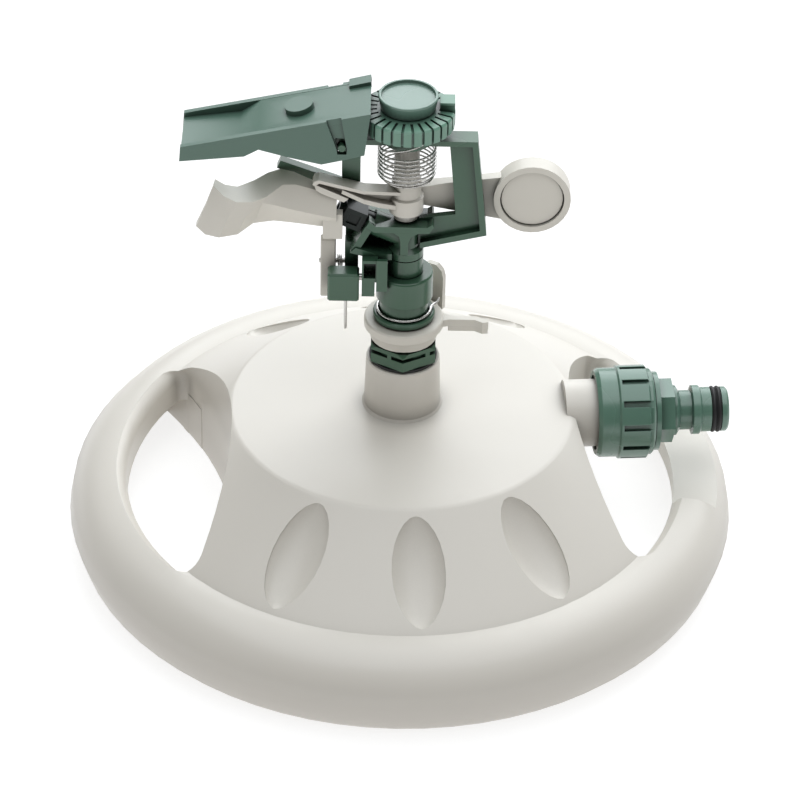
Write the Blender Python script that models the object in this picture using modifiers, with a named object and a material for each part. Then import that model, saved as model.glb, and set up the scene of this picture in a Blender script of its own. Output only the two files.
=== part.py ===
"""Impact sprinkler on a round ring base, modelled as separate pieces.

Run with: blender --background --python part.py
Lengths below are millimetres; Blender works in metres. +Z is up and the origin
is under the riser, on the ground. The hose connector points along +X.
"""
import math

import bmesh
import bpy
from mathutils import Matrix, Vector

MM = 0.001

# ---- driving dimensions, millimetres and degrees ----------------------------
HEAD_TURN = -5.0            # how far the head is turned from the base's X axis
GAP = 0.3                   # clearance kept between pieces that touch

RING_RADIUS = 118.0
RING_INNER = 97.5
RING_TOP = 28.0
HUB_RADIUS = 60.5
HUB_TOP = 53.0
HUB_DOME = 55.0
WALL = 3.0
SIDE_REACH = 60.0           # hub half-width where the side openings start
SIDE_CURVE = 240.0          # the hub side is x = SIDE_REACH + y*y / SIDE_CURVE
CORNER_RADIUS = 3.0         # rounding at the ends of each side opening
# Height and spread of each side opening, which rounds off its edge on the ring.
OPENING_SPREAD = ((60.0, 3.6), (28.2, 3.6), (27.2, 1.9), (25.6, 0.7), (23.4, 0.0), (-3.0, 0.0))
LIP_FOOT = 15.0             # lower edge of the ring's inner wall beside a side opening
NOTCH_HALF = 27.0
NOTCH_FLOOR = 22.8
FLUTE_ANGLES = (-31.0, 0.0, 31.0)
FLUTE_RADIUS = 79.0
FLUTE_LENGTH = 40.0
FLUTE_WIDTH = 18.8
FLUTE_DEPTH = 5.0

BOSS_RADIUS = 12.9
BOSS_TOP = 74.6
BOSS_BORE = 9.0
BOSS_FLOOR = 56.5
WATERWAY = 4.3

INLET_Z = 46.7
STUB_RADIUS = 12.0
THREAD_RADIUS = 13.1
STUB_END = 82.0
NUT_START = 68.5
NUT_END = 88.8
NUT_RADIUS = 16.6
NUT_SLOTS = 12

HEX_FLATS = 22.4
HEX_BOTTOM = 75.9
HEX_TOP = 82.7
GROOVE_RIBS = 5
BARREL_RADIUS = 8.45
BARREL_TOP = 99.3
TUBE_RADIUS = 5.6
NECK_RADIUS = 6.3

JET_RISE = 24.0             # nozzle angle above the horizontal
JET_Z = 124.6               # nozzle axis height on the riser axis

POST_TOP = 164.3
BAR_THICKNESS = 2.0
FRAME_HALF = 3.5            # half the bridge's depth, front to back
WEB_HALF = 1.2

PIN_RADIUS = 1.5
DIAL_BOTTOM = 169.3
DIAL_TOP = 175.2
DIAL_RADIUS = 15.8
DIAL_TEETH = 28
CAP_TOP = 180.4

FLAP_PIVOT = (-21.7, 0.0, 166.2)
FLAP_HALF = 11.8
TRIP_PIVOT = (-20.1, -6.0, 111.0)
DOG_PIVOT = (-24.0, 0.9, 113.0)

WEIGHT_X = 42.7
WEIGHT_Z = 138.3
WEIGHT_RADIUS = 13.1


# ---- scene helpers ------------------------------------------------------------
def clear_scene():
    for obj in list(bpy.data.objects):
        bpy.data.objects.remove(obj, do_unlink=True)


def make_collection(name):
    collection = bpy.data.collections.new(name)
    bpy.context.scene.collection.children.link(collection)
    return collection


def make_material(name, color, roughness, metallic=0.0):
    mat = bpy.data.materials.new(name)
    mat.use_nodes = True
    shader = mat.node_tree.nodes["Principled BSDF"]
    shader.inputs["Base Color"].default_value = (*color, 1.0)
    shader.inputs["Roughness"].default_value = roughness
    shader.inputs["Metallic"].default_value = metallic
    mat.diffuse_color = (*color, 1.0)
    return mat


def link(obj):
    parts.objects.link(obj)
    return obj


def evaluated_mesh(obj):
    """An object's evaluated shape as a plain mesh, with its seams closed."""
    bpy.context.view_layer.update()
    depsgraph = bpy.context.evaluated_depsgraph_get()
    mesh = bpy.data.meshes.new_from_object(obj.evaluated_get(depsgraph))
    bm = bmesh.new()
    bm.from_mesh(mesh)
    bmesh.ops.remove_doubles(bm, verts=bm.verts, dist=0.000002)
    bmesh.ops.recalc_face_normals(bm, faces=bm.faces)
    bm.to_mesh(mesh)
    bm.free()
    return mesh


def is_closed(mesh):
    bm = bmesh.new()
    bm.from_mesh(mesh)
    closed = len(bm.faces) > 0 and all(len(edge.link_faces) == 2 for edge in bm.edges)
    bm.free()
    return closed


def bake(obj):
    """Turn an object's evaluated shape into a plain mesh object."""
    mesh = evaluated_mesh(obj)
    name = obj.name
    bpy.data.objects.remove(obj, do_unlink=True)
    return link(bpy.data.objects.new(name, mesh))


def turned(name, profile, steps=32):
    """Solid of revolution about Z; profile is (radius, height) down the outside."""
    mesh = bpy.data.meshes.new(name)
    closed = profile[0][0] > 0.0
    count = len(profile)
    edges = [(i, i + 1) for i in range(count - 1)]
    if closed:
        edges.append((count - 1, 0))
    mesh.from_pydata([(r * MM, 0.0, z * MM) for r, z in profile], edges, [])
    obj = link(bpy.data.objects.new(name, mesh))
    screw = obj.modifiers.new("turn", "SCREW")
    screw.steps = steps
    screw.render_steps = steps
    screw.use_merge_vertices = True
    screw.merge_threshold = 0.00001
    screw.use_smooth_shade = False
    return bake(obj)


def box(name, low, high):
    bpy.ops.mesh.primitive_cube_add(size=1.0)
    obj = bpy.context.active_object
    for collection in list(obj.users_collection):
        collection.objects.unlink(obj)
    link(obj)
    obj.name = name
    low = Vector(low)
    high = Vector(high)
    place = Matrix.Translation((low + high) / 2 * MM)
    place = place @ Matrix.Diagonal([*((high - low) * MM), 1.0])
    obj.data.transform(place)
    return obj


def rod(name, start, end, radius, end_radius=None, sides=24):
    """Straight round bar, or a cone when end_radius differs."""
    start = Vector(start) * MM
    end = Vector(end) * MM
    axis = end - start
    bm = bmesh.new()
    bmesh.ops.create_cone(
        bm, cap_ends=True, segments=sides, radius1=radius * MM,
        radius2=(radius if end_radius is None else end_radius) * MM, depth=axis.length)
    mesh = bpy.data.meshes.new(name)
    bm.to_mesh(mesh)
    bm.free()
    turn = axis.to_track_quat("Z", "Y").to_matrix().to_4x4()
    mesh.transform(Matrix.Translation((start + end) / 2) @ turn)
    return link(bpy.data.objects.new(name, mesh))


def plate(name, outline, low, high, axis="Y"):
    """Flat outline given thickness: (x, z) extruded along Y, or (x, y) along Z."""
    curve = bpy.data.curves.new(name, "CURVE")
    curve.dimensions = "2D"
    curve.fill_mode = "BOTH"
    curve.extrude = (high - low) / 2 * MM
    spline = curve.splines.new("POLY")
    spline.points.add(len(outline) - 1)
    for point, (a, b) in zip(spline.points, outline):
        point.co = (a * MM, b * MM, 0.0, 1.0)
    spline.use_cyclic_u = True
    obj = bake(link(bpy.data.objects.new(name, curve)))
    middle = (high + low) / 2 * MM
    if axis == "Y":
        stand = Matrix.Translation((0.0, middle, 0.0)) @ Matrix.Rotation(math.pi / 2, 4, "X")
    else:
        stand = Matrix.Translation((0.0, 0.0, middle))
    obj.data.transform(stand)
    return obj


def wire(name, points, radius, sides_level=1):
    """Round wire through a list of points."""
    curve = bpy.data.curves.new(name, "CURVE")
    curve.dimensions = "3D"
    curve.bevel_depth = radius * MM
    curve.bevel_resolution = sides_level
    curve.use_fill_caps = True
    spline = curve.splines.new("POLY")
    spline.points.add(len(points) - 1)
    for point, place in zip(spline.points, points):
        point.co = (place[0] * MM, place[1] * MM, place[2] * MM, 1.0)
    return bake(link(bpy.data.objects.new(name, curve)))


def boolean(obj, tool, operation):
    """Combine two solids; the second solver is only for where the first leaves a gap."""
    mod = obj.modifiers.new(operation.lower(), "BOOLEAN")
    mod.operation = operation
    mod.object = tool
    tool.hide_render = True
    tool.display_type = "WIRE"
    for solver in ("EXACT", "MANIFOLD"):
        mod.solver = solver
        mesh = evaluated_mesh(obj)
        if is_closed(mesh):
            break
    name = obj.name
    bpy.data.objects.remove(obj, do_unlink=True)
    bpy.data.objects.remove(tool, do_unlink=True)
    return link(bpy.data.objects.new(name, mesh))


def join(obj, *others):
    for other in others:
        obj = boolean(obj, other, "UNION")
    return obj


def cut(obj, *tools):
    for tool in tools:
        obj = boolean(obj, tool, "DIFFERENCE")
    return obj


def cluster(name, objects):
    """Several clear solids as one tool object."""
    bm = bmesh.new()
    for obj in objects:
        bm.from_mesh(obj.data)
        bpy.data.objects.remove(obj, do_unlink=True)
    mesh = bpy.data.meshes.new(name)
    bm.to_mesh(mesh)
    bm.free()
    return link(bpy.data.objects.new(name, mesh))


def lay_along_x(obj, x, z):
    """Move a piece turned about Z so that its axis runs along +X at height z."""
    obj.data.transform(Matrix.Translation((x * MM, 0.0, z * MM)) @ Matrix.Rotation(math.pi / 2, 4, "Y"))
    return obj


def soften(obj, width, segments=1, angle=40.0):
    bevel = obj.modifiers.new("edges", "BEVEL")
    bevel.width = width * MM
    bevel.segments = segments
    bevel.limit_method = "ANGLE"
    bevel.angle_limit = math.radians(angle)
    bevel.harden_normals = False
    name = obj.name
    result = bake(obj)
    result.name = name
    return result


def place(obj, name, mat, parent):
    """Name a finished piece, give it its material and hang it on its body's empty."""
    obj.name = name
    obj.data.name = name
    obj.data.materials.clear()
    obj.data.materials.append(mat)
    obj.data.shade_smooth()
    obj.data.set_sharp_from_angle(angle=math.radians(32.0))
    origin = body_origins[parent.name]
    obj.data.transform(Matrix.Translation(-Vector(origin) * MM))
    obj.parent = parent
    return obj


def make_body(name, parent=None, origin=(0.0, 0.0, 0.0), turn=0.0):
    """Empty that stands on a moving body's joint axis."""
    empty = bpy.data.objects.new(name, None)
    empty.empty_display_size = 0.02
    link(empty)
    offset = Vector(origin)
    if parent is not None:
        empty.parent = parent
        offset = offset - Vector(body_origins[parent.name])
    empty.location = offset * MM
    empty.rotation_euler = (0.0, 0.0, math.radians(turn))
    body_origins[name] = origin
    return empty


def polar(radius, angle, z):
    a = math.radians(angle)
    return (radius * math.cos(a), radius * math.sin(a), z)


def lofted(name, rings):
    """Closed solid through a row of rings that have the same number of points."""
    bm = bmesh.new()
    loops = [[bm.verts.new(Vector(point) * MM) for point in ring] for ring in rings]
    count = len(loops[0])
    for first, second in zip(loops, loops[1:]):
        for i in range(count):
            j = (i + 1) % count
            bm.faces.new((first[i], first[j], second[j], second[i]))
    bm.faces.new(loops[0])
    bm.faces.new(loops[-1][::-1])
    bmesh.ops.triangulate(bm, faces=bm.faces)
    bmesh.ops.recalc_face_normals(bm, faces=bm.faces)
    mesh = bpy.data.meshes.new(name)
    bm.to_mesh(mesh)
    bm.free()
    return link(bpy.data.objects.new(name, mesh))


def jet_point(distance, side=0.0, lift=0.0):
    """Point on the nozzle axis, measured along it from the riser axis."""
    a = math.radians(JET_RISE)
    x = -distance * math.cos(a) + lift * math.sin(a)
    z = JET_Z + distance * math.sin(a) + lift * math.cos(a)
    return (x, side, z)


def helix(radius_of, z_low, z_high, turns, start, per_turn=12):
    """Points up a coil whose radius is radius_of(0 to 1 up the coil)."""
    total = int(turns * per_turn)
    points = []
    for i in range(total + 1):
        t = i / total
        points.append(polar(radius_of(t), start + 360.0 * turns * t, z_low + (z_high - z_low) * t))
    return points


# ---- base -----------------------------------------------------------------------
def opening_outline(ring_radius, reach, corner_radius, side):
    """Side opening between the ring and the hub's hollowed side, with round corners."""
    def clearance(angle):
        x = (ring_radius - corner_radius) * math.cos(angle)
        y = (ring_radius - corner_radius) * math.sin(angle)
        return (x - reach - y * y / SIDE_CURVE) / math.hypot(1.0, 2 * y / SIDE_CURVE)

    low, high = 0.0, math.radians(60.0)
    for _ in range(40):
        corner = (low + high) / 2
        if clearance(corner) > corner_radius:
            low = corner
        else:
            high = corner
    cx = (ring_radius - corner_radius) * math.cos(corner)
    cy = (ring_radius - corner_radius) * math.sin(corner)
    lean = math.atan2(2 * cy / SIDE_CURVE, 1.0)
    end = math.pi - lean
    fillet = [corner + (end - corner) * i / 8.0 for i in range(1, 9)]
    upper = [(ring_radius * math.cos(corner * i / 10.0), ring_radius * math.sin(corner * i / 10.0))
             for i in range(11)]
    upper += [(cx + corner_radius * math.cos(a), cy + corner_radius * math.sin(a)) for a in fillet]
    edge_y = upper[-1][1]
    upper += [(reach + (edge_y * i / 8.0) ** 2 / SIDE_CURVE, edge_y * i / 8.0) for i in range(7, 0, -1)]
    points = upper + [(reach, 0.0)] + [(x, -y) for x, y in reversed(upper[1:])]
    return [(side * x, side * y) for x, y in points]


def opening_tool(name, grow, side):
    """Solid that cuts one side opening, or with grow the space its walls take up."""
    rings = []
    for z, spread in OPENING_SPREAD:
        outline = opening_outline(RING_INNER + grow + spread, SIDE_REACH - grow,
                                  CORNER_RADIUS + grow + spread, side)
        rings.append([(x, y, z - grow) for x, y in outline])
    return lofted(name, rings)


def side_foot(side, end):
    """Foot of the hub's side wall, carried on past the opening to the ring's skin."""
    line = [(SIDE_REACH + 0.3 + y * y / SIDE_CURVE, y) for y in (48.0, 54.0, 60.0, 66.0, 72.4)]
    outline = line + [(x - WALL, y) for x, y in reversed(line)]
    return plate("side_foot", [(side * x, end * y) for x, y in outline], 0.2, LIP_FOOT + 3.0, "Z")


def flute_spindle(name, angle, grow, rings, sides):
    """Spindle lying in the sloping face, sunk to half its depth."""
    slope = math.atan2(HUB_TOP - RING_TOP, RING_INNER - HUB_RADIUS)
    surface_z = HUB_TOP - (FLUTE_RADIUS - HUB_RADIUS) * math.tan(slope)
    half = FLUTE_LENGTH / 2 + grow
    profile = [(0.0, half)]
    for i in range(1, rings):
        turned_by = math.pi * i / rings
        profile.append((math.sin(turned_by) ** 1.15, half * math.cos(turned_by)))
    profile.append((0.0, -half))
    tool = turned(name, profile, steps=sides)
    squeeze = Matrix.Diagonal([FLUTE_DEPTH + grow, FLUTE_WIDTH / 2 + grow, 1.0, 1.0])
    lean = Matrix.Rotation(math.pi / 2 + slope, 4, "Y")
    centre = Matrix.Translation((FLUTE_RADIUS * MM, 0.0, surface_z * MM))
    turn = Matrix.Rotation(math.radians(angle), 4, "Z")
    tool.data.transform(turn @ centre @ lean @ squeeze)
    return tool


def build_base_shell():
    outer = turned("base_shell", [
        (0.0, HUB_DOME), (22.0, HUB_DOME - 0.2), (42.0, HUB_DOME - 0.8), (HUB_RADIUS - 1.0, HUB_TOP + 0.1),
        (HUB_RADIUS + 0.8, HUB_TOP - 0.8), (RING_INNER, RING_TOP), (101.0, 28.3), (107.0, 27.0),
        (112.0, 24.0),
        (116.8, 18.5), (RING_RADIUS, 12.0), (115.5, 3.5), (112.5, 0.0), (0.0, 0.0)], steps=72)
    hollow = turned("hollow", [
        (0.0, HUB_DOME - WALL), (42.0, HUB_DOME - WALL - 0.8), (HUB_RADIUS - 1.7, HUB_TOP - WALL),
        (RING_INNER - 1.7, RING_TOP - WALL + 0.4), (101.0, 25.3), (106.0, 24.2), (110.3, 21.6),
        (113.9, 17.0), (114.9, 12.3), (112.6, 4.4), (109.5, 0.0), (109.5, -2.0), (0.0, -2.0)], steps=72)
    for side in (1, -1):
        foot = plate("foot", opening_outline(RING_INNER + 8.0, SIDE_REACH + 0.4, 5.0, side), -4.0, LIP_FOOT,
                     "Z")
        outer = cut(outer, opening_tool("opening", 0.0, side), foot)
        hollow = cut(hollow, opening_tool("wall", WALL, side))
    outer = cut(outer, box("notch", (RING_INNER - 3, -NOTCH_HALF, NOTCH_FLOOR),
                           (RING_RADIUS + 3, NOTCH_HALF, 40)))
    hollow = cut(hollow, box("floor", (RING_INNER - 4, -NOTCH_HALF - WALL, NOTCH_FLOOR - WALL),
                             (RING_RADIUS + 3, NOTCH_HALF + WALL, 40)))
    for facing in (-90.0, 90.0):
        for angle in FLUTE_ANGLES:
            outer = cut(outer, flute_spindle("flute", facing + angle, 0.0, 12, 14))
            hollow = cut(hollow, flute_spindle("flute", facing + angle, WALL, 8, 12))
    shell = cut(outer, hollow)
    for side in (1, -1):
        shell = join(shell, side_foot(side, 1), side_foot(side, -1))
    boss = turned("boss", [(0.0, BOSS_TOP), (BOSS_RADIUS - 0.4, BOSS_TOP), (BOSS_RADIUS, BOSS_TOP - 0.5),
                           (BOSS_RADIUS + 0.6, HUB_DOME + 0.8), (BOSS_RADIUS + 1.6, HUB_DOME - 0.6),
                           (BOSS_RADIUS + 0.6, 42.0), (0.0, 42.0)])
    stub = rod("stub", (SIDE_REACH - 2.5, 0, INLET_Z), (NUT_START + 1.0, 0, INLET_Z), STUB_RADIUS, sides=32)
    thread = rod("thread", (NUT_START + 0.9, 0, INLET_Z), (STUB_END, 0, INLET_Z), THREAD_RADIUS, sides=32)
    gallery = rod("gallery", (2.0, 0, INLET_Z - 1.3), (SIDE_REACH, 0, INLET_Z - 1.3), WATERWAY + 1.9,
                  sides=20)
    shell = join(shell, boss, stub, thread, gallery)
    bore = turned("bore", [(0.0, BOSS_TOP + 1), (BOSS_BORE, BOSS_TOP + 1), (BOSS_BORE, BOSS_FLOOR),
                           (WATERWAY, BOSS_FLOOR - 2.0), (WATERWAY, INLET_Z - 1.3), (0.0, INLET_Z - 1.3)])
    mouth = rod("mouth", (SIDE_REACH + 4.0, 0, INLET_Z), (STUB_END + 1, 0, INLET_Z), 8.5, sides=24)
    channel = rod("channel", (0.5, 0, INLET_Z - 1.3), (SIDE_REACH + 5.0, 0, INLET_Z - 1.3), WATERWAY,
                  sides=16)
    return cut(shell, bore, mouth, channel)


def build_hose_nut():
    nut = turned("hose_nut", [
        (10.6, 0.0), (14.6, 0.0), (15.4, -0.8), (15.4, -1.8), (NUT_RADIUS, -2.4), (NUT_RADIUS, -12.4),
        (15.9, -13.0), (15.9, -19.0), (14.9, -20.3), (13.4, -20.3), (13.4, -1.6), (10.6, -1.6)], steps=36)
    slots = []
    for i in range(NUT_SLOTS):
        slot = box("slot", (NUT_RADIUS - 1.3, -1.1, -11.6), (NUT_RADIUS + 2, 1.1, 3.0))
        slot.data.transform(Matrix.Rotation(math.radians(i * 360.0 / NUT_SLOTS + 15.0), 4, "Z"))
        slots.append(slot)
    nut = cut(nut, cluster("slots", slots))
    return lay_along_x(nut, NUT_END, INLET_Z)


def build_hose_spigot():
    # Height here runs along the pipe, outwards, before the piece is laid down.
    spigot = turned("hose_spigot", [
        (4.6, 115.8), (7.3, 115.8), (7.95, 115.1), (7.95, 113.4), (6.7, 113.4), (6.7, 109.6), (7.95, 109.6),
        (7.95, 106.2), (8.75, 105.6), (8.75, 103.1), (7.05, 102.6), (7.05, 98.6), (8.9, 97.4), (9.2, 95.0),
        (9.2, 90.8), (14.0, 90.8), (14.0, 89.1), (10.2, 89.1), (10.2, 86.9), (12.9, 86.9), (12.9, 85.1),
        (4.6, 85.1)])
    spigot.data.transform(Matrix.Translation((0.0, 0.0, -100.0 * MM)))
    grip = rod("grip", (0, 0, -9.2), (0, 0, -3.8), 19.8 / math.sqrt(3.0), sides=6)
    grip = cut(grip, rod("waterway", (0, 0, -20), (0, 0, 20), 7.0, sides=24))
    spigot = join(spigot, grip)
    return lay_along_x(spigot, 100.0, INLET_Z)


def build_spigot_o_ring():
    """Sealing ring with a groove round its middle, so it reads as two."""
    ring = turned("spigot_o_ring", [(7.0, 13.1), (7.9, 13.1), (8.25, 12.6), (8.25, 12.2), (7.7, 11.5),
                                    (8.25, 10.8), (8.25, 10.4), (7.9, 9.9), (7.0, 9.9)])
    return lay_along_x(ring, 100.0, INLET_Z)


def ring_section(inner, outer, low, high, edge=0.0):
    if edge == 0.0:
        return [(inner, high), (outer, high), (outer, low), (inner, low)]
    return [(inner, high), (outer - edge, high), (outer, high - edge), (outer, low + edge),
            (outer - edge, low), (inner, low)]


# ---- swivel -------------------------------------------------------------------------
def build_bearing_nut():
    hexagon = rod("bearing_nut", (0, 0, HEX_BOTTOM), (0, 0, HEX_TOP), HEX_FLATS / math.sqrt(3.0), sides=6)
    chamfer = turned("chamfer", [(0.0, HEX_TOP + 1), (11.5, HEX_TOP + 1), (13.4, HEX_TOP - 2.2),
                                 (13.4, HEX_BOTTOM - 1), (0.0, HEX_BOTTOM - 1)], steps=32)
    hexagon = boolean(hexagon, chamfer, "INTERSECT")
    groove = turned("groove", ring_section(10.4, 14.0, 79.6, 81.1))
    ribs = []
    for i in range(GROOVE_RIBS):
        rib = box("rib", (9.0, -0.8, 79.0), (15.0, 0.8, 82.0))
        rib.data.transform(Matrix.Rotation(math.radians(-115.0 + i * 360.0 / GROOVE_RIBS), 4, "Z"))
        ribs.append(rib)
    hexagon = cut(hexagon, cut(groove, cluster("ribs", ribs)))
    barrel = turned("barrel", [(5.95, 84.0), (7.95, 84.0), (7.95, BARREL_TOP), (BARREL_RADIUS, BARREL_TOP),
                               (BARREL_RADIUS, HEX_TOP - 1), (BOSS_BORE - 0.4, HEX_TOP - 1),
                               (BOSS_BORE - 0.4, 61.8), (5.95, 61.8)])
    hexagon = cut(hexagon, rod("bore", (0, 0, 70), (0, 0, 90), 7.0, sides=24))
    return join(barrel, hexagon)


def build_lower_collar():
    collar = turned("trip_collar_lower", ring_section(8.8, 11.6, 83.1, 87.2, 0.4))
    arm = box("arm", (10.2, -3.0, 83.5), (20.6, 3.0, 86.6))
    top = [(-4.6, 84.2), (4.6, 84.2), (4.6, 97.4), (3.8, 100.2), (1.8, 101.9), (-1.8, 101.9), (-3.8, 100.2),
           (-4.6, 97.4)]
    stop = plate("stop", top, -1.0, 1.0)
    stop.data.transform(Matrix.Translation((19.8 * MM, 0, 0)) @ Matrix.Rotation(math.pi / 2, 4, "Z"))
    tab = join(arm, stop)
    tab.data.transform(Matrix.Rotation(math.radians(60.0), 4, "Z"))
    return join(collar, tab)


def build_upper_collar():
    collar = turned("trip_collar_upper", ring_section(8.8, 13.8, 87.6, 91.3, 0.5))
    outline = [(12.2, 3.4), (12.2, -2.6), (15.5, -1.4), (24.6, -1.4), (27.2, -3.0), (29.3, -2.6),
               (29.3, -0.2),
               (27.4, -0.6), (25.2, 0.9), (17.0, 0.9), (14.6, 2.0)]
    tab = plate("tab", outline, 87.9, 90.7, "Z")
    rib = plate("rib", [(15.4, -1.3), (24.6, -1.3), (27.2, -2.9), (29.2, -2.5), (29.2, -1.3), (27.4, -1.7),
                        (25.0, -0.2), (15.4, -0.2)], 85.9, 88.2, "Z")
    return join(collar, tab, rib)


def build_retaining_clip():
    points = [polar(9.3, angle, 94.9) for angle in range(40, 372, 12)]
    points.append((11.4, 2.6, 95.0))
    points.append((12.2, 4.0, 96.2))
    return wire("retaining_clip", points, 0.5)


def build_bearing_tube():
    return turned("bearing_tube", [
        (3.6, 119.6), (4.7, 119.6), (4.7, 117.0), (NECK_RADIUS, 117.0), (NECK_RADIUS, 110.6),
        (TUBE_RADIUS, 110.6),
        (TUBE_RADIUS, 59.9), (8.3, 59.9), (8.3, 57.2), (3.6, 57.2)])


def build_sand_guard():
    return turned("sand_guard", [
        (5.95, 110.3), (9.2, 110.3), (9.8, 109.7), (9.8, 99.9), (8.85, 99.9), (8.85, 109.0), (5.95, 109.0)])


def build_bearing_spring():
    return wire("bearing_spring", helix(lambda t: 6.95, 84.8, 108.2, 5, 0.0), 0.5)


# ---- head -----------------------------------------------------------------------------
def build_sprinkler_body():
    socket = turned("sprinkler_body", [(0.0, 130.0), (4.4, 130.0), (4.6, 121.4), (6.3, 120.0), (6.3, 117.4),
                                        (0.0, 117.4)])
    stem = plate("stem", [(-4.6, 129.4), (-2.2, 127.6), (-1.7, 125.6), (-1.7, 117.7), (1.0, 117.7),
                          (1.0, 125.0),
                          (1.8, 127.4), (5.0, 129.4)], -6.1, 5.4)
    shelf = plate("shelf", [(-12.4, 133.3), (-10.2, 131.5), (7.4, 131.5), (9.0, 132.7), (9.6, 131.6),
                            (8.0, 129.1),
                            (-10.6, 129.1), (-13.5, 131.2)], -6.2, 6.2)
    web = plate("web", [(0, 119.0), (6.9, 122), (27.4, 127.2), (23.6, POST_TOP), (14.0, POST_TOP),
                        (16.8, 134.0),
                        (0, 131.4)], -WEB_HALF, WEB_HALF)
    rim = plate("rim", [(21.7, 163.4), (23.7, 163.4), (27.5, 127.1), (5.0, 121.4), (5.0, 123.6),
                        (25.2, 128.9)], -FRAME_HALF, FRAME_HALF)
    bar = box("bar", (-22.0, -FRAME_HALF, POST_TOP - BAR_THICKNESS), (23.6, FRAME_HALF, POST_TOP))
    post = box("post", (-21.8, -3.4, 141.7), (-15.6, 3.4, 163.2))
    knee = box("knee", (-20.3, 1.0, 141.3), (-15.8, 6.6, 145.0))
    shin = box("shin", (-20.5, 4.3, 120.1), (-15.9, 6.9, 142.6))
    guide = plate("guide", [(-20.0, 140.6), (-20.0, 144.0), (-42.6, 152.6), (-43.8, 149.6)], 1.2, 4.5)
    barrel = rod("barrel", jet_point(-1.5), jet_point(12.6), 4.4, sides=20)
    seat = plate("seat", [(-12.4, 133.3), (-18.8, 120.6), (-16.6, 119.6), (-10.2, 131.8)], -5.4, 6.7)
    floor = plate("floor", [(-18.8, 120.6), (-9.7, 118.0), (-4.5, 118.0), (-4.5, 120.4), (-9.7, 120.4),
                            (-16.9, 122.6)], -6.0, 6.5)
    hanger = box("hanger", (-20.6, -1.2, 104.4), (-16.0, 2.8, 122.0))
    back_wall = box("back_wall", (-15.9, 4.6, 119.6), (-3.0, 6.4, 131.0))
    housing = plate("housing", [(-14.6, 105.0), (-10.2, 105.0), (-10.2, 110.8), (-9.2, 110.8), (-9.2, 119.5),
                                (-14.6, 119.5)], -9.2, 3.0)
    recess = box("recess", (-14.0, -12.0, 112.4), (-9.9, -5.0, 118.4))
    cheek = box("cheek", (-9.6, -9.7, 107.4), (-5.9, -8.3, 119.9))
    boss = turned("boss", [(0.0, DIAL_TOP), (6.4, DIAL_TOP), (6.4, 168.9), (8.2, 168.9), (8.2, 162.8),
                           (0.0, 162.8)])
    lug = plate("lug", [(-24.4, 163.0), (-19.0, 163.0), (-19.0, 168.6), (-24.4, 168.6)], -3.2, 3.2)
    px, py, pz = FLAP_PIVOT
    bush = rod("bush", (px, -9.7, pz), (px, 9.7, pz), 2.7, sides=16)
    body = join(socket, back_wall, stem, web, rim, shelf, bar, post, knee, shin, guide, barrel, seat, floor,
                hanger, housing, cheek, boss, lug, bush)
    inlet = turned("inlet", [(0.0, 126.0), (3.4, 126.0), (3.4, 119.9), (5.0, 119.9), (5.0, 116.0),
                             (0.0, 116.0)], steps=20)
    throat = rod("throat", jet_point(0.0), jet_point(20.0), 2.6, sides=16)
    socket_bore = rod("bore", jet_point(6.6), jet_point(20.0), 3.5, sides=16)
    pin_bore = rod("bore", (0, 0, 128.6), (0, 0, 171.4), PIN_RADIUS + GAP, sides=16)
    cap_bore = rod("bore", (0, 0, 171.3), (0, 0, 180.0), 3.4, sides=16)
    flap_bore = rod("bore", (px, -13, pz), (px, 13, pz), 1.65, sides=12)
    tx, ty, tz = TRIP_PIVOT
    trip_bore = rod("bore", (-15.5, ty, tz), (-11.4, ty, tz), 1.55, sides=12)
    dx, dy, dz = DOG_PIVOT
    dog_bore = rod("bore", (-21.5, dy, dz), (-17.0, dy, dz), 1.35, sides=12)
    return cut(body, recess, inlet, throat, socket_bore, pin_bore, cap_bore, flap_bore, trip_bore, dog_bore)


def build_nozzle():
    shank = rod("nozzle", jet_point(7.0), jet_point(16.0), 3.1, sides=16)
    tip = rod("tip", jet_point(23.0), jet_point(25.4), 3.3, 2.9, sides=16)
    square = box("square", (-3.9, -3.7, -3.7), (3.9, 3.7, 3.7))
    panel = box("panel", (-2.0, -4.4, -2.0), (2.0, -3.0, 2.0))
    x, _, z = jet_point(19.5)
    along_jet = Matrix.Translation((x * MM, 0.0, z * MM)) @ Matrix.Rotation(math.radians(JET_RISE), 4, "Y")
    square.data.transform(along_jet)
    panel.data.transform(along_jet)
    nozzle = cut(join(shank, square, tip), panel)
    return cut(nozzle, rod("bore", jet_point(5.0), jet_point(28.0), 2.3, 1.7, sides=16))


def build_dial():
    dial = turned("range_dial", [(6.75, DIAL_TOP), (10.6, DIAL_TOP), (DIAL_RADIUS - 0.6, DIAL_TOP - 0.3),
                                 (DIAL_RADIUS, DIAL_TOP - 0.9), (DIAL_RADIUS, DIAL_BOTTOM),
                                 (6.75, DIAL_BOTTOM)], steps=DIAL_TEETH)
    block = box("block", (10.6, -1.6, DIAL_TOP - 1.5), (DIAL_RADIUS - 0.2, 4.2, DIAL_TOP + 2.9))
    dial = join(dial, block)
    grooves = []
    for i in range(DIAL_TEETH):
        if i not in (0, 1):
            groove = box("groove", (10.4, -0.45, DIAL_BOTTOM - 1), (DIAL_RADIUS + 2, 0.45, DIAL_TOP + 2))
            low = box("keep", (10.0, -1.0, DIAL_BOTTOM - 2), (DIAL_RADIUS - 0.9, 1.0, DIAL_TOP - 0.9))
            groove = cut(groove, low)
            groove.data.transform(Matrix.Rotation(math.radians((i + 0.5) * 360.0 / DIAL_TEETH), 4, "Z"))
            grooves.append(groove)
    return cut(dial, cluster("grooves", grooves))


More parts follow.
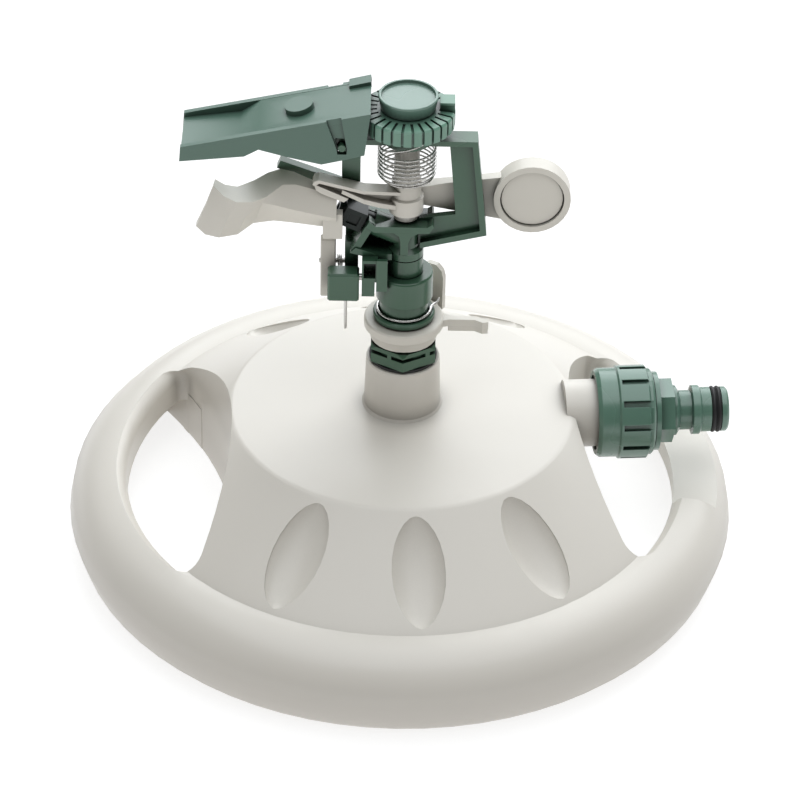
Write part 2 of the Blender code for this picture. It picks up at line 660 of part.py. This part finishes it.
def build_cap():
    return turned("top_cap", [
        (0.0, CAP_TOP - 1.1), (8.9, CAP_TOP - 1.1), (9.1, CAP_TOP), (9.9, CAP_TOP), (10.1, CAP_TOP - 0.5),
        (9.2, DIAL_TOP + GAP), (3.1, DIAL_TOP + GAP), (3.1, 171.9), (0.0, 171.9)], steps=36)


def build_flap():
    wall_line = [(-75.4, 165.1), (-12.3, 179.4), (-14.2, 163.4), (-20.3, 161.6), (-28.5, 159.5),
                 (-39.8, 162.1),
                 (-49.4, 164.8), (-54.2, 162.0), (-75.8, 159.6)]
    slot_line = [(-27.6, 178.0), (-22.2, 178.6), (-20.0, 165.4), (-20.2, 163.6), (-23.2, 163.6),
                 (-23.5, 165.6)]
    window_line = [(-24.3, 169.2), (-20.9, 169.2), (-20.2, 165.4), (-20.4, 163.8), (-23.0, 163.8),
                   (-23.2, 165.6)]
    deck = plate("jet_flap", [(-75.3, 163.6), (-56.0, 166.4), (-49.5, 170.9), (-12.4, 179.3), (-12.6, 177.0),
                              (-49.0, 168.6), (-56.5, 164.2), (-75.4, 161.4)], -FLAP_HALF + 1.0,
                              FLAP_HALF - 1.0)
    walls = []
    for side in (-1, 1):
        low, high = sorted((side * FLAP_HALF, side * (FLAP_HALF - 1.9)))
        wall = plate("wall", wall_line, low, high)
        sunk, past = sorted((side * (FLAP_HALF - 1.1), side * (FLAP_HALF + 1.0)))
        wall = cut(wall, plate("slot", slot_line, sunk, past))
        walls.append(cut(wall, plate("window", window_line, low - 1, high + 1)))
    middle = (-36.0, 0.0, 174.0)
    lean = math.radians(12.8)
    up = (-math.sin(lean), 0.0, math.cos(lean))
    button = rod("button", [m - 1.0 * u for m, u in zip(middle, up)],
                 [m + 1.9 * u for m, u in zip(middle, up)],
                 4.9, sides=24)
    tab = plate("tab", [(-19.6, 176.6), (-19.9, 178.7), (-12.6, 180.6), (-12.3, 178.6)], 7.0, FLAP_HALF)
    return join(deck, walls[0], walls[1], button, tab)


def build_arm():
    hub = turned("impact_arm", [(0.0, 161.9), (4.1, 161.9), (4.5, 148.2), (5.0, 147.4), (5.1, 141.4),
                                (5.9, 140.9), (5.9, 135.0), (0.0, 135.0)], steps=24)
    beam = plate("beam", [(1.0, 136.4), (13.8, 132.7), (32.6, 129.1), (38.0, 128.0), (38.0, 148.0),
                          (32.6, 145.9),
                          (13.8, 143.2), (1.0, 141.7)], 1.2, 7.7)
    plan = plate("plan", [(0.6, 1.8), (6.0, 2.8), (13.6, 4.0), (38.4, 4.0), (38.4, 7.8), (0.6, 7.8)], 125.0,
                 150.0, "Z")
    beam = boolean(beam, plan, "INTERSECT")
    drum = rod("drum", (WEIGHT_X, 2.0, WEIGHT_Z), (WEIGHT_X, 8.6, WEIGHT_Z), WEIGHT_RADIUS, sides=32)
    ribs = [
        plate("upper", [(-14.0, 146.35), (-14.0, 147.62), (-29.4, 151.6), (-30.9, 151.0), (-31.5, 149.7),
                        (-30.7, 149.2), (-29.2, 150.3)], -9.2, -4.0),
        plate("lower", [(-14.0, 142.18), (-14.0, 143.9), (-21.4, 147.6), (-21.8, 146.2)], -8.7, -4.1),
        plate("web", [(-14.0, 141.2), (-14.0, 146.96), (-29.6, 151.1), (-31.0, 149.8), (-30.0, 148.2),
                      (-19.8, 143.1)], -5.8, -4.2)]
    roots = [
        plate("upper", [(-0.5, 142.85), (-0.5, 144.1), (-14.4, 147.7), (-14.4, 146.44)], -9.15, -4.05),
        plate("lower", [(-0.5, 136.3), (-0.5, 138.0), (-9.0, 141.4), (-14.4, 144.05), (-14.4, 142.35),
                        (-9.2, 139.7)], -8.65, -4.15),
        plate("web", [(-0.5, 136.8), (-0.5, 143.3), (-14.4, 147.0), (-14.4, 141.35), (-9.0, 139.6)],
              -5.75, -4.25)]
    # Between the left post and the hub the ribs run in towards the pin.
    inward_run = Matrix.Identity(4)
    inward_run[1][0] = 0.36
    inward_run[1][3] = 0.36 * 14.2 * MM
    for root in roots:
        root.data.transform(inward_run)
    lip = plate("lip", [(-31.2, 149.9), (-30.4, 147.0), (-28.4, 145.6), (-21.0, 142.4), (-19.4, 143.8),
                        (-30.1, 148.9)],
                -8.2, -4.9)
    tail = box("tail", (-28.0, -8.2, 127.6), (-21.4, -4.8, 137.4))
    spoon = build_spoon()
    arm = join(hub, beam, drum, *ribs, *roots, lip, spoon, tail)
    return cut(arm, rod("pocket", (WEIGHT_X, 1.0, WEIGHT_Z), (WEIGHT_X, 7.4, WEIGHT_Z), 10.9, sides=32),
               rod("bore", (0, 0, 130), (0, 0, 165), 1.95, sides=16))


def build_spoon():
    """Channel that the jet strikes: a roof and a front wall swept through stations."""
    thick = 1.8
    # Each station: the roof's back edge, the fold, the crease in the front wall and its foot.
    stations = [
        ((-64.6, -1.5, 146.4), (-64.8, -9.0, 148.6), (-67.4, -9.8, 141.0), (-70.8, -8.6, 131.9)),
        ((-61.2, -1.2, 144.0), (-61.2, -12.3, 146.7), (-64.4, -13.0, 139.3), (-67.6, -12.2, 131.0)),
        ((-57.0, -1.0, 143.2), (-56.8, -13.8, 145.2), (-59.9, -14.5, 138.6), (-62.8, -13.8, 130.9)),
        ((-51.5, -0.6, 145.6), (-51.4, -12.6, 144.6), (-53.9, -13.2, 138.8), (-56.6, -12.4, 131.4)),
        ((-46.8, 0.0, 148.4), (-46.9, -9.6, 144.9), (-48.2, -10.0, 142.6), (-51.6, -5.6, 131.6)),
        ((-42.6, 0.1, 150.0), (-41.6, -6.2, 147.6), (-43.8, -9.7, 141.6), (-44.8, -4.8, 132.3)),
        ((-38.0, -1.0, 149.6), (-37.2, -6.3, 147.9), (-37.6, -9.6, 139.8), (-38.2, -4.4, 131.4)),
        ((-30.0, -3.7, 147.4), (-29.6, -6.6, 145.9), (-29.6, -9.5, 137.9), (-29.8, -4.9, 130.6)),
        ((-23.4, -4.3, 144.8), (-23.4, -7.0, 143.6), (-23.4, -9.3, 136.6), (-23.4, -6.6, 131.2))]
    inward = [(0.0, thick, 0.4), (0.0, thick, 0.0), (0.0, thick, -thick), (0.0, 0.0, -thick)]
    rings = []
    for outer in stations:
        inner = [Vector(p) + Vector(shift) for p, shift in zip(reversed(outer), inward)]
        rings.append([*outer, *inner])
    return lofted("spoon", rings)


def build_arm_spring():
    close = helix(lambda t: 7.6 + 2.4 * min(1.0, t * 6.0), 147.9, 160.4, 8, 0.0, per_turn=13)
    # The open turn stays under the frame's top bar, then climbs past it at the front.
    under = [polar(10.0, a, 160.4 + 1.1 * a / 210) for a in range(30, 211, 30)]
    climb = [polar(10.0, a, 161.5 + 6.3 * (a - 210) / 130) for a in range(230, 341, 22)]
    return wire("arm_spring", close + under + climb, 0.42)


def build_trip_lever():
    block = soften(box("trip_lever", (-26.3, -10.5, 103.3), (-15.5, -4.0, 114.4)), 0.7)
    tx, ty, tz = TRIP_PIVOT
    return cut(block, rod("bore", (-32, ty, tz), (-10, ty, tz), 1.55, sides=12),
               rod("bore", (tx, -7.4, 100.0), (tx, -7.4, 109.6), 0.95, sides=10))


def build_trip_dog():
    outline = [(-2.0, 99.6), (3.6, 99.6), (3.6, 117.0), (2.6, 121.8), (0.9, 123.6), (-0.9, 121.8),
               (-2.0, 117.0)]
    dog = plate("trip_dog", outline, -2.6, 2.6)
    dog.data.transform(Matrix.Translation((-26.3 * MM, 0, 0)) @ Matrix.Rotation(math.pi / 2, 4, "Z"))
    dog = soften(dog, 0.4)
    dx, dy, dz = DOG_PIVOT
    return cut(dog, rod("bore", (-30, dy, dz), (-20, dy, dz), 1.35, sides=12))


def build_trip_spring():
    dx, dy, dz = DOG_PIVOT
    points = []
    for i in range(31):
        a = math.radians(i * 36.0)
        points.append((-23.1 + 1.7 * i / 30, dy + 2.1 * math.cos(a), dz + 2.1 * math.sin(a)))
    return wire("trip_spring", points, 0.25)


# ---- the whole object -------------------------------------------------------------------
clear_scene()
parts = make_collection("impact_sprinkler")
body_origins = {}

grey = make_material("light_grey_plastic", (0.72, 0.71, 0.68), 0.42)
green = make_material("green_plastic", (0.16, 0.27, 0.22), 0.38)
black = make_material("black_rubber", (0.02, 0.02, 0.02), 0.6)
black_plastic = make_material("black_plastic", (0.02, 0.03, 0.03), 0.35)
steel = make_material("spring_steel", (0.62, 0.62, 0.62), 0.3, 1.0)
white = make_material("white_washer", (0.8, 0.8, 0.78), 0.5)

base = make_body("base")
riser = make_body("riser", base, turn=HEAD_TURN)
lower_stop = make_body("lower_stop", riser)
upper_stop = make_body("upper_stop", riser)
connector = make_body("connector_nut", base, (NUT_START, 0.0, INLET_Z))
head = make_body("head", riser)
dial_body = make_body("dial", head, (0.0, 0.0, DIAL_TOP))
flap_body = make_body("flap", head, FLAP_PIVOT)
arm_body = make_body("arm", head, (0.0, 0.0, 140.0))
trip_body = make_body("trip", head, TRIP_PIVOT)
dog_body = make_body("dog", head, DOG_PIVOT)

place(build_base_shell(), "base_shell", grey, base)
place(lay_along_x(turned("inlet_washer", ring_section(6.5, 12.7, 0.0, 2.4)), STUB_END + GAP, INLET_Z),
      "inlet_washer", black, base)
place(build_hose_spigot(), "hose_spigot", green, base)
place(build_spigot_o_ring(), "spigot_o_ring", black, base)
place(build_hose_nut(), "hose_nut", green, connector)

place(turned("seat_gasket", ring_section(8.9, 11.8, BOSS_TOP + 0.2, HEX_BOTTOM - 0.2)), "seat_gasket", black,
      riser)
place(build_bearing_nut(), "bearing_nut", green, riser)
place(turned("collar_washer", ring_section(8.8, 10.7, 91.7, 94.0, 0.4)), "collar_washer", green, riser)
place(build_retaining_clip(), "retaining_clip", steel, riser)
place(build_lower_collar(), "trip_collar_lower", grey, lower_stop)
place(build_upper_collar(), "trip_collar_upper", grey, upper_stop)

place(build_bearing_tube(), "bearing_tube", green, head)
place(turned("thrust_washer", ring_section(5.95, 8.5, 60.2, 61.5)), "thrust_washer", white, head)
place(build_bearing_spring(), "bearing_spring", steel, head)
place(build_sand_guard(), "sand_guard", green, head)
place(build_sprinkler_body(), "sprinkler_body", green, head)
place(build_nozzle(), "nozzle", black_plastic, head)
place(rod("fulcrum_pin", (0, 0, 129.0), (0, 0, 171.0), PIN_RADIUS, sides=16), "fulcrum_pin", steel, head)
place(turned("arm_washer", ring_section(1.85, 4.2, 132.3, 134.6)), "arm_washer", white, head)
place(build_arm_spring(), "arm_spring", steel, head)
place(build_cap(), "top_cap", green, head)
place(rod("flap_pin", (FLAP_PIVOT[0], -12.3, FLAP_PIVOT[2]), (FLAP_PIVOT[0], 12.3, FLAP_PIVOT[2]), 1.3,
          sides=12),
      "flap_pin", green, head)
place(rod("trip_pin", (-26.0, TRIP_PIVOT[1], TRIP_PIVOT[2]), (-11.7, TRIP_PIVOT[1], TRIP_PIVOT[2]), 1.2,
          sides=12),
      "trip_pin", steel, head)
place(rod("dog_pin", (-29.4, DOG_PIVOT[1], DOG_PIVOT[2]), (-17.3, DOG_PIVOT[1], DOG_PIVOT[2]), 1.0,
          sides=12),
      "dog_pin", steel, head)
place(build_trip_spring(), "trip_spring", steel, head)

place(build_dial(), "range_dial", green, dial_body)
place(build_flap(), "jet_flap", green, flap_body)
place(build_arm(), "impact_arm", grey, arm_body)
place(rod("counterweight", (WEIGHT_X, 4.5, WEIGHT_Z), (WEIGHT_X, 7.2, WEIGHT_Z), 10.0, sides=24),
      "counterweight", steel, arm_body)
place(rod("weight_cover", (WEIGHT_X, 2.9, WEIGHT_Z), (WEIGHT_X, 4.2, WEIGHT_Z), 10.55, sides=32),
      "weight_cover", grey, arm_body)
place(build_trip_lever(), "trip_lever", green, trip_body)
place(rod("trip_wire", (TRIP_PIVOT[0], -7.4, 90.0), (TRIP_PIVOT[0], -7.4, 109.2), 0.6, sides=10),
      "trip_wire", steel, trip_body)
place(build_trip_dog(), "trip_dog", grey, dog_body)
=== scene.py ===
"""Studio picture of the impact sprinkler: materials, fine edges, light and camera."""
import math

import bmesh
import bpy
from mathutils import Matrix, Vector

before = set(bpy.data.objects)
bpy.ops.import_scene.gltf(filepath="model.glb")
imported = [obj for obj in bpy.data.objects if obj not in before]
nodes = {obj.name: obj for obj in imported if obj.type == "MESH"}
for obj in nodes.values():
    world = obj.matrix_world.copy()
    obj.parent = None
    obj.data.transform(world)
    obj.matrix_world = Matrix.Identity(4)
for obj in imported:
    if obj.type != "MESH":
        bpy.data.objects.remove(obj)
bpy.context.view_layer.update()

MM = 0.001

# ---- camera and light, in metres and degrees --------------------------------
LENS_MM = 162.0
CAMERA_AZIMUTH = -5.0
CAMERA_ELEVATION = 36.1
CAMERA_DISTANCE = 1.268
CAMERA_ROLL = 1.2
TARGET = (-0.0007, 0.0, 0.0548)
LIGHT_COLOR = (0.935, 0.967, 1.0)
WORLD_COLOR = (1.0, 0.93, 0.82)
WORLD_STRENGTH = 0.12
FLOOR_REACH = 12.0
FLOOR_ALBEDO = 0.36
FLOOR_GLOW = 0.77

# ---- surface finish and painted shade -----------------------------------------------
SLOW_NOISE_SCALE = 14.0
GRAIN_NOISE_SCALE = 2600.0
WIRE_NOISE_SCALE = 900.0
# how far the painted shade in corners and grooves reaches
CREVICE_SHADE_REACH = 0.009
# painted shade near the ground: full below the first height, gone above the second
FOOT_SHADE_BELOW = 0.006
FOOT_SHADE_ENDS_ABOVE = 0.026
HARD_EDGE_DEGREES = 32.0
WIRE_EDGE_DEGREES = 75.0
WELD_REACH = 0.000002
FLAT_DEGREES = 0.6


# ---- materials ------------------------------------------------------------------
def new_material(name, color, roughness, metallic=0.0, specular=0.5):
    mat = bpy.data.materials.new(name)
    mat.use_nodes = True
    shader = mat.node_tree.nodes["Principled BSDF"]
    shader.inputs["Base Color"].default_value = (*color, 1.0)
    shader.inputs["Roughness"].default_value = roughness
    shader.inputs["Metallic"].default_value = metallic
    shader.inputs["Specular IOR Level"].default_value = specular
    return mat


def add_noise(mat, scale, detail, stretch=(1.0, 1.0, 1.0)):
    """Noise in object space; returns its factor output."""
    tree = mat.node_tree
    coords = tree.nodes.new("ShaderNodeTexCoord")
    mapping = tree.nodes.new("ShaderNodeMapping")
    mapping.inputs["Scale"].default_value = stretch
    noise = tree.nodes.new("ShaderNodeTexNoise")
    noise.inputs["Scale"].default_value = scale
    noise.inputs["Detail"].default_value = detail
    tree.links.new(coords.outputs["Object"], mapping.inputs["Vector"])
    tree.links.new(mapping.outputs["Vector"], noise.inputs["Vector"])
    return noise.outputs["Fac"]


def map_range(mat, value, low, high):
    tree = mat.node_tree
    node = tree.nodes.new("ShaderNodeMapRange")
    node.inputs["From Min"].default_value = 0.3
    node.inputs["From Max"].default_value = 0.7
    node.inputs["To Min"].default_value = low
    node.inputs["To Max"].default_value = high
    tree.links.new(value, node.inputs["Value"])
    return node.outputs["Result"]


def vary_color(mat, value, first, second):
    tree = mat.node_tree
    mix = tree.nodes.new("ShaderNodeMix")
    mix.data_type = "RGBA"
    mix.inputs["A"].default_value = (*first, 1.0)
    mix.inputs["B"].default_value = (*second, 1.0)
    tree.links.new(value, mix.inputs["Factor"])
    tree.links.new(mix.outputs["Result"], tree.nodes["Principled BSDF"].inputs["Base Color"])


def vary_roughness(mat, value):
    tree = mat.node_tree
    tree.links.new(value, tree.nodes["Principled BSDF"].inputs["Roughness"])


def add_bump(mat, value, depth_mm, strength):
    tree = mat.node_tree
    bump = tree.nodes.new("ShaderNodeBump")
    bump.inputs["Distance"].default_value = depth_mm * MM
    bump.inputs["Strength"].default_value = strength
    tree.links.new(value, bump.inputs["Height"])
    tree.links.new(bump.outputs["Normal"], tree.nodes["Principled BSDF"].inputs["Normal"])


def paint_crevice_shade(mat, depth):
    """Paints shade into the colour in corners and grooves, where nearby surfaces close in."""
    tree = mat.node_tree
    shader = tree.nodes["Principled BSDF"]
    incoming_color = shader.inputs["Base Color"].links[0].from_socket
    near = tree.nodes.new("ShaderNodeAmbientOcclusion")
    near.samples = 8
    near.inputs["Distance"].default_value = CREVICE_SHADE_REACH
    ramp = tree.nodes.new("ShaderNodeMapRange")
    ramp.inputs["From Min"].default_value = 0.25
    ramp.inputs["From Max"].default_value = 0.92
    ramp.inputs["To Min"].default_value = depth
    ramp.inputs["To Max"].default_value = 1.0
    scale = tree.nodes.new("ShaderNodeVectorMath")
    scale.operation = "SCALE"
    tree.links.new(near.outputs["AO"], ramp.inputs["Value"])
    tree.links.new(incoming_color, scale.inputs["Vector"])
    tree.links.new(ramp.outputs["Result"], scale.inputs["Scale"])
    tree.links.new(scale.outputs["Vector"], shader.inputs["Base Color"])


def moulded_plastic(name, color, roughness, grain_mm, shade=0.04, specular=0.45, crevice_shade=0.3):
    """Plastic with a fine moulded grain, a slow drift in colour and gloss, and painted shade in its
    corners and grooves.
    """
    mat = new_material(name, color, roughness, specular=specular)
    slow = add_noise(mat, SLOW_NOISE_SCALE, 3.0)
    fine = add_noise(mat, GRAIN_NOISE_SCALE, 2.0)
    dark = tuple(c * (1.0 - shade) for c in color)
    light = tuple(min(1.0, c * (1.0 + shade)) for c in color)
    vary_color(mat, map_range(mat, slow, 0.0, 1.0), dark, light)
    paint_crevice_shade(mat, crevice_shade)
    vary_roughness(mat, map_range(mat, slow, roughness - 0.05, roughness + 0.05))
    add_bump(mat, fine, grain_mm, 0.6)
    return mat


def paint_foot_shade(mat, foot_shade_color):
    """Paints shade near the ground: blends from a darker colour there to the plain colour a little
    higher up.
    """
    tree = mat.node_tree
    shader = tree.nodes["Principled BSDF"]
    incoming_color = shader.inputs["Base Color"].links[0].from_socket
    coords = tree.nodes.new("ShaderNodeTexCoord")
    split = tree.nodes.new("ShaderNodeSeparateXYZ")
    ramp = tree.nodes.new("ShaderNodeMapRange")
    ramp.interpolation_type = "SMOOTHSTEP"
    ramp.inputs["From Min"].default_value = FOOT_SHADE_BELOW
    ramp.inputs["From Max"].default_value = FOOT_SHADE_ENDS_ABOVE
    mix = tree.nodes.new("ShaderNodeMix")
    mix.data_type = "RGBA"
    mix.inputs["A"].default_value = (*foot_shade_color, 1.0)
    tree.links.new(coords.outputs["Object"], split.inputs["Vector"])
    tree.links.new(split.outputs["Z"], ramp.inputs["Value"])
    tree.links.new(ramp.outputs["Result"], mix.inputs["Factor"])
    tree.links.new(incoming_color, mix.inputs["B"])
    tree.links.new(mix.outputs["Result"], shader.inputs["Base Color"])


def drawn_steel(name, color, roughness):
    """Drawn wire: fine lines along it and small changes in gloss."""
    mat = new_material(name, color, roughness, metallic=1.0)
    lines = add_noise(mat, WIRE_NOISE_SCALE, 3.0, (1.0, 1.0, 0.15))
    vary_color(mat, map_range(mat, lines, 0.0, 1.0), tuple(c * 0.82 for c in color), color)
    vary_roughness(mat, map_range(mat, lines, roughness - 0.06, roughness + 0.08))
    add_bump(mat, lines, 0.02, 0.4)
    return mat


# The crevice value (named, or the seventh argument) sets how dark the painted shade in corners and
# grooves gets; 0.3 where not given.
BASE_GREY = moulded_plastic("base_grey", (0.765, 0.733, 0.672), 0.36, 0.02, 0.012, crevice_shade=0.38)
# painted shade: the base's lower ring is darker towards the ground
paint_foot_shade(BASE_GREY, (0.62, 0.59, 0.54))
ARM_GREY = moulded_plastic("arm_grey", (0.76, 0.73, 0.66), 0.38, 0.02, 0.02, crevice_shade=0.35)
GREEN = moulded_plastic("dark_green", (0.056, 0.132, 0.080), 0.26, 0.02, 0.06, 0.6, 0.12)
NUT_GREEN = moulded_plastic("nut_green", (0.112, 0.222, 0.168), 0.27, 0.02, 0.05, 0.8, 0.10)
HOOD_GREEN = moulded_plastic("hood_green", (0.094, 0.176, 0.136), 0.33, 0.02, 0.04, 0.6, 0.2)
CAP_GREEN = moulded_plastic("cap_green", (0.14, 0.25, 0.20), 0.28, 0.02, 0.04, 1.0, 0.15)
DIAL_GREEN = moulded_plastic("dial_green", (0.155, 0.31, 0.23), 0.32, 0.02, 0.05, 0.7, 0.08)
BLACK = moulded_plastic("black_rubber", (0.016, 0.017, 0.018), 0.55, 0.03, 0.1)
JET_BLACK = moulded_plastic("black_moulding", (0.010, 0.020, 0.016), 0.34, 0.015, 0.1, 0.3, 0.2)
WHITE = moulded_plastic("white_washer", (0.72, 0.71, 0.66), 0.5, 0.015, 0.03)
STEEL = drawn_steel("spring_steel", (0.66, 0.65, 0.63), 0.26)
PIN_STEEL = drawn_steel("pin_steel", (0.88, 0.85, 0.80), 0.5)

FINISHES = {
    "base_shell": BASE_GREY, "trip_collar_lower": ARM_GREY, "trip_collar_upper": ARM_GREY,
    "impact_arm": ARM_GREY, "weight_cover": ARM_GREY, "trip_dog": ARM_GREY,
    "hose_spigot": NUT_GREEN, "hose_nut": NUT_GREEN, "bearing_nut": GREEN, "collar_washer": GREEN,
    "bearing_tube": GREEN, "sand_guard": GREEN, "sprinkler_body": GREEN, "flap_pin": GREEN,
    "trip_lever": GREEN, "top_cap": CAP_GREEN, "range_dial": DIAL_GREEN, "jet_flap": HOOD_GREEN,
    "inlet_washer": BLACK, "spigot_o_ring": BLACK, "seat_gasket": BLACK, "nozzle": JET_BLACK,
    "thrust_washer": WHITE, "arm_washer": WHITE, "fulcrum_pin": PIN_STEEL,
}
EDGE_MM = {
    "base_shell": 0.6, "hose_nut": 0.35, "hose_spigot": 0.3, "bearing_nut": 0.3, "sprinkler_body": 0.3,
    "impact_arm": 0.45, "jet_flap": 0.35, "range_dial": 0.18, "top_cap": 0.25, "trip_collar_upper": 0.35,
    "trip_collar_lower": 0.35, "sand_guard": 0.3, "trip_lever": 0.25, "trip_dog": 0.25, "nozzle": 0.25,
    "weight_cover": 0.3,
}


def smooth_by_angle(limit_degrees):
    """Geometry nodes that shade a mesh smooth, with hard edges above an angle."""
    group = bpy.data.node_groups.new("smooth_by_angle", "GeometryNodeTree")
    group.interface.new_socket("Geometry", in_out="INPUT", socket_type="NodeSocketGeometry")
    group.interface.new_socket("Geometry", in_out="OUTPUT", socket_type="NodeSocketGeometry")
    source = group.nodes.new("NodeGroupInput")
    result = group.nodes.new("NodeGroupOutput")
    angle = group.nodes.new("GeometryNodeInputMeshEdgeAngle")
    below = group.nodes.new("FunctionNodeCompare")
    below.data_type = "FLOAT"
    below.operation = "LESS_THAN"
    below.inputs["B"].default_value = math.radians(limit_degrees)
    faces = group.nodes.new("GeometryNodeSetShadeSmooth")
    faces.domain = "FACE"
    edges = group.nodes.new("GeometryNodeSetShadeSmooth")
    edges.domain = "EDGE"
    group.links.new(source.outputs["Geometry"], faces.inputs["Geometry"])
    group.links.new(faces.outputs["Geometry"], edges.inputs["Geometry"])
    group.links.new(angle.outputs["Unsigned Angle"], below.inputs["A"])
    group.links.new(below.outputs["Result"], edges.inputs["Shade Smooth"])
    group.links.new(edges.outputs["Geometry"], result.inputs["Geometry"])
    return group


SMOOTHING = smooth_by_angle(HARD_EDGE_DEGREES)
WIRE_SMOOTHING = smooth_by_angle(WIRE_EDGE_DEGREES)
WIRES = ("arm_spring", "trip_spring", "trip_wire", "retaining_clip", "bearing_spring")


def weld_facets(obj):
    """Drop the stored normals and join the faces at their shared corners."""
    if "custom_normal" in obj.data.attributes:
        obj.data.attributes.remove(obj.data.attributes["custom_normal"])
    weld = obj.modifiers.new("weld", "WELD")
    weld.merge_threshold = WELD_REACH


def finish_wire(obj):
    """Subdivide a bent wire once, so its bends and its section come out round."""
    weld_facets(obj)
    rounder = obj.modifiers.new("rounder", "SUBSURF")
    rounder.levels = 1
    rounder.render_levels = 1
    smooth = obj.modifiers.new("smooth", "NODES")
    smooth.node_group = WIRE_SMOOTHING


def finish_surface(obj, edge_mm):
    """Merge flat faces, round the hard edges a little and shade the curves smooth."""
    weld_facets(obj)
    flats = obj.modifiers.new("flats", "DECIMATE")
    flats.decimate_type = "DISSOLVE"
    flats.angle_limit = math.radians(FLAT_DEGREES)
    if edge_mm:
        bevel = obj.modifiers.new("edges", "BEVEL")
        bevel.width = edge_mm * MM
        bevel.segments = 2
        bevel.limit_method = "ANGLE"
        bevel.angle_limit = math.radians(HARD_EDGE_DEGREES)
        bevel.use_clamp_overlap = True
    smooth = obj.modifiers.new("smooth", "NODES")
    smooth.node_group = SMOOTHING
    weight = obj.modifiers.new("weight", "WEIGHTED_NORMAL")
    weight.keep_sharp = True
    weight.weight = 60


def dress(node):
    obj = nodes[node]
    obj.data.materials.clear()
    obj.data.materials.append(FINISHES.get(node, STEEL))
    if node in WIRES:
        finish_wire(obj)
    else:
        finish_surface(obj, EDGE_MM.get(node, 0.0))


for node_name in nodes:
    dress(node_name)


# ---- floor, light and camera ------------------------------------------------------
def make_floor():
    bm = bmesh.new()
    bmesh.ops.create_grid(bm, x_segments=1, y_segments=1, size=FLOOR_REACH)
    mesh = bpy.data.meshes.new("floor")
    bm.to_mesh(mesh)
    bm.free()
    floor = bpy.data.objects.new("floor", mesh)
    bpy.context.scene.collection.objects.link(floor)
    pale = new_material("pale_floor", (FLOOR_ALBEDO,) * 3, 0.9, specular=0.0)
    glow = pale.node_tree.nodes["Principled BSDF"]
    glow.inputs["Emission Color"].default_value = (1.0, 1.0, 1.0, 1.0)
    glow.inputs["Emission Strength"].default_value = FLOOR_GLOW
    floor.data.materials.append(pale)


def soft_panel(name, place, width, height, radiance):
    """Rectangular light aimed at the object; radiance 1 is as bright as plain white."""
    data = bpy.data.lights.new(name, "AREA")
    data.shape = "RECTANGLE"
    data.size = width
    data.size_y = height
    data.energy = radiance * math.pi * width * height
    data.color = LIGHT_COLOR
    light = bpy.data.objects.new(name, data)
    bpy.context.scene.collection.objects.link(light)
    light.location = place
    aim = Vector(TARGET) - Vector(place)
    light.rotation_euler = aim.to_track_quat("-Z", "Y").to_euler()


def make_camera():
    data = bpy.data.cameras.new("camera")
    data.lens = LENS_MM
    data.sensor_width = 36.0
    data.clip_end = 30.0
    camera = bpy.data.objects.new("camera", data)
    bpy.context.scene.collection.objects.link(camera)
    a = math.radians(CAMERA_AZIMUTH)
    e = math.radians(CAMERA_ELEVATION)
    out = Vector((math.sin(a) * math.cos(e), -math.cos(a) * math.cos(e), math.sin(e)))
    look = (-out).to_track_quat("-Z", "Y").to_matrix().to_4x4()
    roll = Matrix.Rotation(math.radians(CAMERA_ROLL), 4, "Z")
    camera.matrix_world = Matrix.Translation(Vector(TARGET) + out * CAMERA_DISTANCE) @ look @ roll
    bpy.context.scene.camera = camera


def make_world():
    world = bpy.data.worlds.new("studio")
    world.use_nodes = True
    background = world.node_tree.nodes["Background"]
    background.inputs["Color"].default_value = (*WORLD_COLOR, 1.0)
    background.inputs["Strength"].default_value = WORLD_STRENGTH
    bpy.context.scene.world = world


make_floor()
make_world()
soft_panel("back", (0.8, 2.1, 1.5), 3.2, 2.2, 3.0)
soft_panel("top", (0.0, 0.0, 2.0), 2.4, 2.4, 1.98)
make_camera()
bpy.context.scene.view_settings.view_transform = "Standard"
